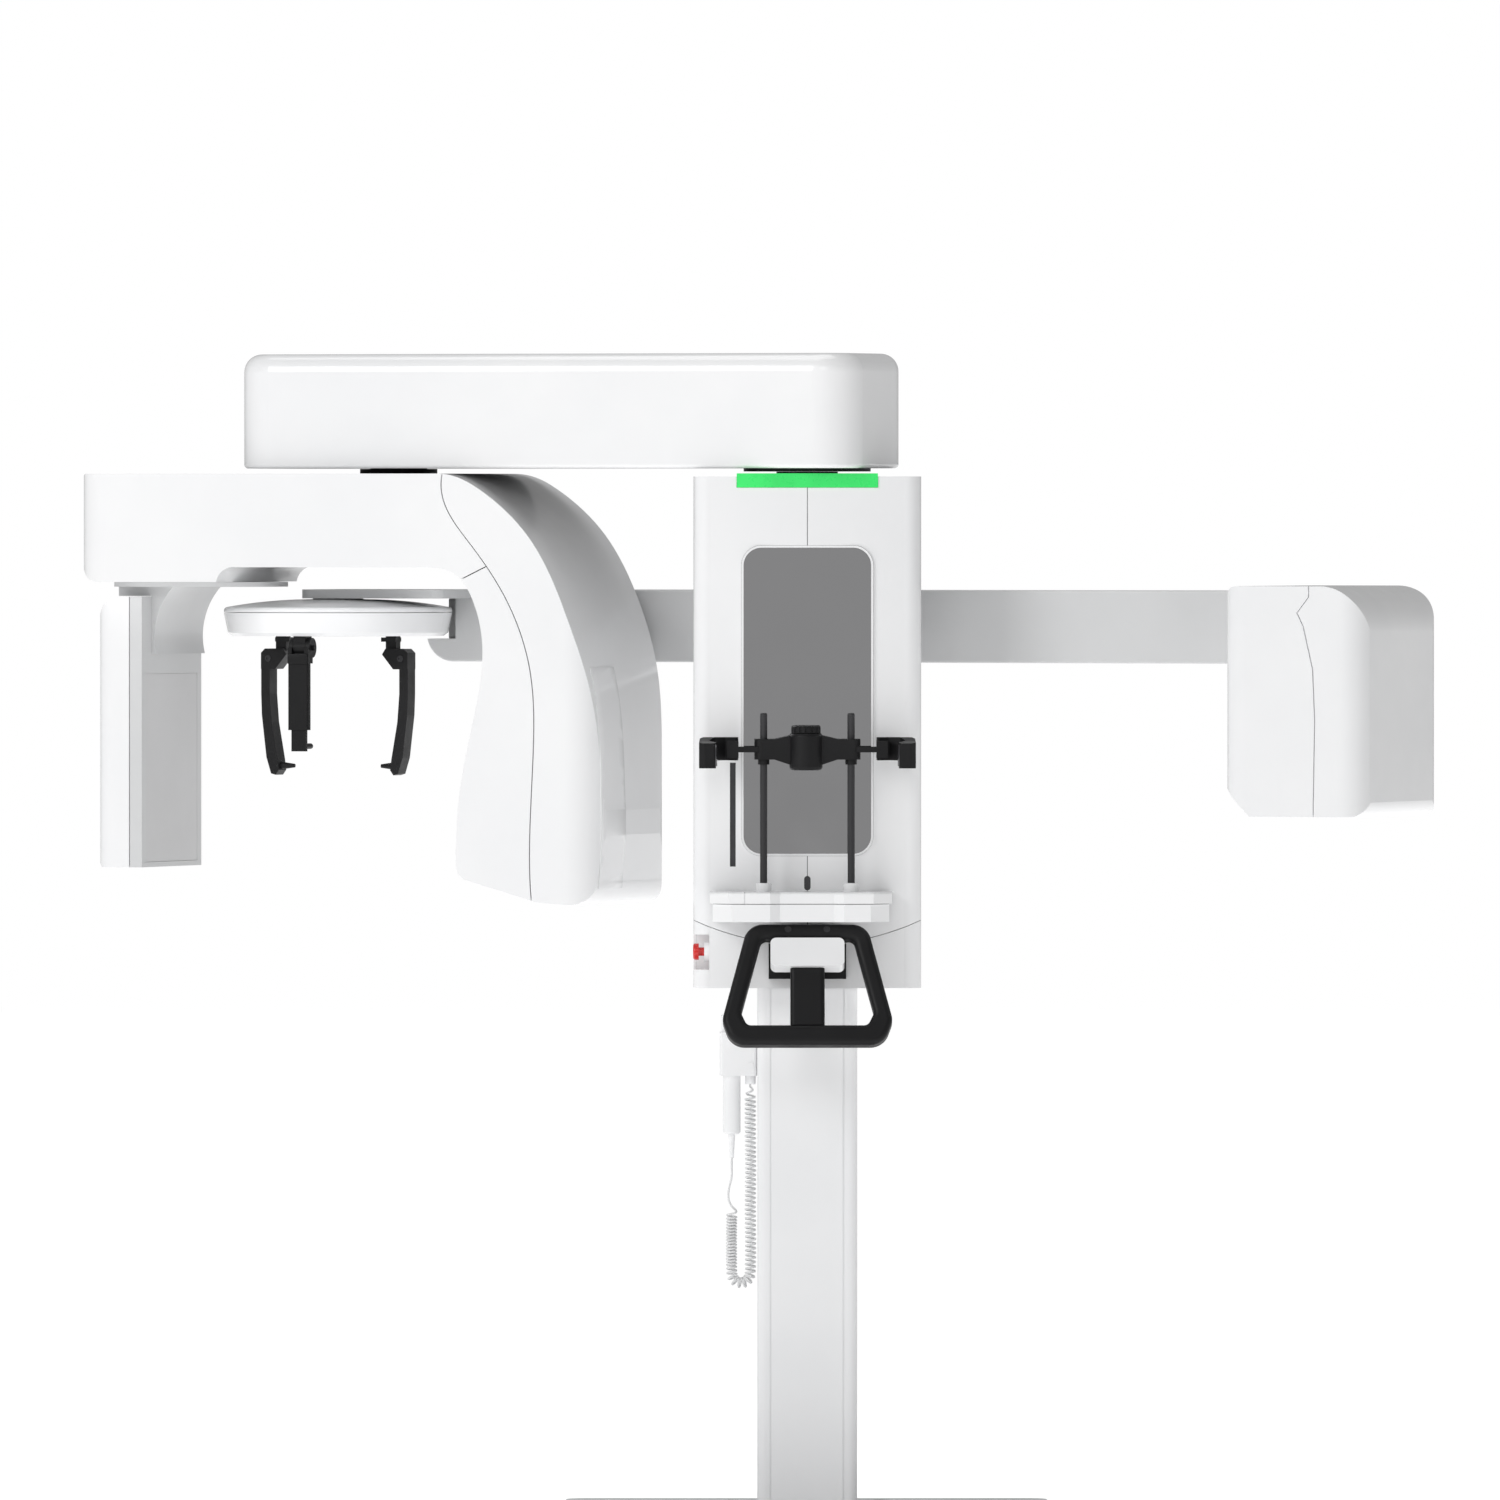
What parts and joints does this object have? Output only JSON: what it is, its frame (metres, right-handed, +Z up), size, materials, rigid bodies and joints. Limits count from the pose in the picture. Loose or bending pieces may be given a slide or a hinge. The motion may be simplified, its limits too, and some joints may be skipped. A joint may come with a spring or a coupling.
{
  "type": "panoramic xray machine",
  "caption": "Dental panoramic and cephalometric x-ray machine: lifting carriage on a floor column, swivelling C-arm with tube head and sensor, head supports and a cephalometric arm.",
  "frame": {"origin": "floor level, on the axis of the column, in the middle of the four anchor holes", "axes": "+Z up, +X to the right and -Y towards the patient, seen from the front"},
  "size_m": [1.8955, 0.8775, 1.6296],
  "materials": {
    "white_cover": "glossy moulded cover",
    "grey_cover": "light grey satin",
    "grey_panel": "matte radiolucent panel",
    "black_plastic": "matte black",
    "white_steel": "white powder coat",
    "dark_metal": "dark grey paint",
    "bare_steel": "satin",
    "aluminium": "satin",
    "mirror": "silvered glass",
    "green_light": "translucent light bar",
    "dark_window": "smoked window",
    "red_plastic": "red button",
    "cord": "pale matte cord jacket"
  },
  "bodies": {
    "base": {"base_plate": "white_steel", "column_tube": "white_steel", "column_foot_screws": "bare_steel", "lift_actuator_body": "aluminium", "switch_holder": "white_cover", "handset": "white_cover", "cord_gland": "white_cover", "cord_lead": "cord", "cord_coil": "cord"},
    "exposure_button": {"handset_button": "black_plastic"},
    "carriage": {"carriage_frame": "dark_metal", "lift_mast": "bare_steel", "carriage_left_cover": "white_cover", "carriage_right_cover": "white_cover", "carriage_lower_cover": "white_cover", "carriage_rear_cover": "white_cover", "mirror_frame": "white_cover", "mirror_glass": "mirror", "status_light": "green_light", "laser_windows": "dark_window", "emergency_stop_housing": "white_cover", "ceph_arm_bracket": "grey_cover", "ceph_arm": "grey_cover", "ceph_tube_inner_cover": "white_cover", "ceph_tube_outer_cover": "white_cover", "ceph_xray_tank": "aluminium", "ceph_head_upper_cover": "white_cover", "tray_upper_cover": "white_cover", "tray_lower_cover": "white_cover", "head_rest_rods": "dark_metal", "handle_loop": "black_plastic", "handle_screws": "bare_steel", "handle_block": "white_cover", "handle_bracket": "black_plastic"},
    "emergency_button": {"emergency_stop_button": "red_plastic"},
    "head_rest": {"head_rest_bar": "black_plastic"},
    "temple_knob": {"temple_knob": "black_plastic"},
    "temple_left": {"temple_left": "black_plastic"},
    "temple_right": {"temple_right": "black_plastic"},
    "ceph_head": {"ceph_head_lower_cover": "white_cover", "ceph_head_rotor": "black_plastic"},
    "ear_left": {"ear_arm_left": "black_plastic"},
    "ear_right": {"ear_arm_right": "black_plastic"},
    "nasion": {"nasion_plate": "black_plastic"},
    "nasion_slide": {"nasion_slide": "black_plastic"},
    "shelf": {"shelf_cover": "white_cover", "shelf_frame": "dark_metal"},
    "linear_slide": {"slide_coupler": "dark_metal"},
    "rotating_unit": {"carm_frame": "dark_metal", "carm_beam_cover": "white_cover", "carm_outer_cover": "white_cover", "tube_head_inner_cover": "white_cover", "tube_window": "grey_panel", "tube_tank": "aluminium"},
    "sensor_head": {"sensor_table": "grey_cover", "sensor_bracket": "grey_cover", "sensor_outer_cover": "white_cover", "sensor_inner_cover": "grey_cover", "sensor_panel": "grey_panel", "sensor_detector": "aluminium"}
  },
  "joints": [
    {"name": "lift", "type": "slide", "parent": "base", "child": "carriage", "axis": [0, 0, 1], "range_m": [0, 0.78]},
    {"name": "exposure_press", "type": "slide", "parent": "base", "child": "exposure_button", "axis": [0, 0, -1], "range_m": [0, 0.003], "stiffness_N_per_m": 300, "springref_m": -0.001},
    {"name": "emergency_press", "type": "slide", "parent": "carriage", "child": "emergency_button", "axis": [1, 0, 0], "range_m": [0, 0.005], "stiffness_N_per_m": 600, "springref_m": -0.001},
    {"name": "shelf_swivel", "type": "hinge", "parent": "carriage", "child": "shelf", "pos_m": [0, 0, 1.5], "axis": [0, 0, 1], "range_deg": [0, 111]},
    {"name": "linear_slide", "type": "slide", "parent": "shelf", "child": "linear_slide", "axis": [-0.9336, 0.3584, 0], "range_m": [0, 0.05]},
    {"name": "unit_rotation", "type": "hinge", "parent": "linear_slide", "child": "rotating_unit", "pos_m": [-0.57537, 0.22086, 1.46], "axis": [0, 0, -1], "range_deg": [0, 90]},
    {"name": "sensor_swivel", "type": "hinge", "parent": "rotating_unit", "child": "sensor_head", "pos_m": [-0.85675, 0.32887, 1.3], "axis": [0, 0, 1], "range_deg": [-10, 45]},
    {"name": "ceph_head_turn", "type": "hinge", "parent": "carriage", "child": "ceph_head", "pos_m": [-0.66353, 0.35646, 1.26], "axis": [0, 0, 1], "range_deg": [-90, 90]},
    {"name": "ear_arm_left_slide", "type": "slide", "parent": "ceph_head", "child": "ear_left", "axis": [0.9336, -0.3584, 0], "range_m": [-0.02, 0.035]},
    {"name": "ear_arm_right_slide", "type": "slide", "parent": "ceph_head", "child": "ear_right", "axis": [-0.9336, 0.3584, 0], "range_m": [-0.02, 0.035]},
    {"name": "nasion_swing", "type": "hinge", "parent": "ceph_head", "child": "nasion", "pos_m": [-0.71119, 0.2323, 1.216], "axis": [-0.9336, 0.3584, 0], "range_deg": [0, 60]},
    {"name": "nasion_height", "type": "slide", "parent": "nasion", "child": "nasion_slide", "axis": [0, 0, 1], "range_m": [-0.03, 0.015]},
    {"name": "head_rest_height", "type": "slide", "parent": "carriage", "child": "head_rest", "axis": [0, 0, 1], "range_m": [-0.05, 0.02]},
    {"name": "temple_knob_turn", "type": "hinge", "parent": "head_rest", "child": "temple_knob", "pos_m": [-0.002, -0.156, 1.106], "axis": [0, 0, 1], "range_deg": [0, 180]},
    {"name": "temple_left_slide", "type": "slide", "parent": "head_rest", "child": "temple_left", "axis": [1, 0, 0], "range_m": [0, 0.018]},
    {"name": "temple_right_slide", "type": "slide", "parent": "head_rest", "child": "temple_right", "axis": [-1, 0, 0], "range_m": [0, 0.018]}
  ],
  "couplings": [
    {"joint": "ear_arm_right_slide", "follows": "ear_arm_left_slide", "ratio": 1},
    {"joint": "temple_knob_turn", "follows": "temple_left_slide", "rad_per_m": 174.5},
    {"joint": "temple_right_slide", "follows": "temple_left_slide", "ratio": 1}
  ]
}
